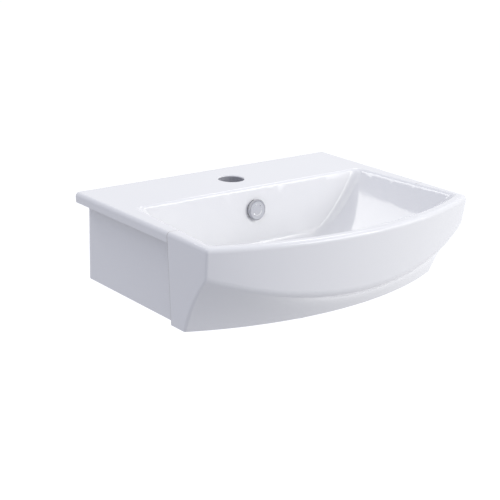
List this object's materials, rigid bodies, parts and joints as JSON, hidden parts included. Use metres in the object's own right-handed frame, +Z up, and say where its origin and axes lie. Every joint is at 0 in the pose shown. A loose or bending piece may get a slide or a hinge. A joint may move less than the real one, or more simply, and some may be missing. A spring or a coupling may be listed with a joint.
{
  "type": "semi recessed basin",
  "caption": "Semi-recessed ceramic wash basin with a bowed, undercut front, tap deck, round overflow cover and push-button waste, fixed back to the wall.",
  "frame": {"origin": "on the basin's flat back face, which lies against the wall, midway across its width and at the height of the worktop's top, where the rim's underside rests", "axes": "+X along the wall, to the right for someone who faces the basin; +Y square into the wall; +Z up"},
  "size_m": [0.42, 0.3859, 0.1495],
  "materials": {
    "glaze": "white glossy glaze",
    "chrome": "polished",
    "brass": "turned",
    "black_rubber": "matt",
    "white_plastic": "satin",
    "steel": "zinc plated"
  },
  "bodies": {
    "basin": {"basin_body": "glaze", "overflow_cover": "chrome", "overflow_socket": "white_plastic", "overflow_seal": "black_rubber", "waste_body": "chrome", "flange_seal": "black_rubber", "lower_seal": "black_rubber", "slip_washer": "white_plastic", "waste_backnut": "brass", "cartridge_barrel": "brass", "cartridge_collar": "brass", "cartridge_spring": "steel", "wall_bolts": "steel", "wall_sleeves": "white_plastic", "wall_washers": "steel", "wall_nuts": "steel"},
    "plug": {"plug_cap": "chrome", "plug_seal": "black_rubber", "lock_nut": "brass", "plunger": "brass"},
    "rotor": {"rotor": "white_plastic"}
  },
  "joints": [
    {"name": "plug_travel", "type": "slide", "parent": "basin", "child": "plug", "axis": [0, 0, 1], "range_m": [-0.007, 0], "stiffness_N_per_m": 800, "springref_m": 0.01, "deforming": ["cartridge_spring"]},
    {"name": "rotor_turn", "type": "hinge", "parent": "plug", "child": "rotor", "pos_m": [0, -0.19, -0.0962], "axis": [0, 0, 1], "range_deg": [0, 45]}
  ],
  "couplings": [
    {"joint": "rotor_turn", "follows": "plug_travel", "rad_per_m": -112.2}
  ]
}
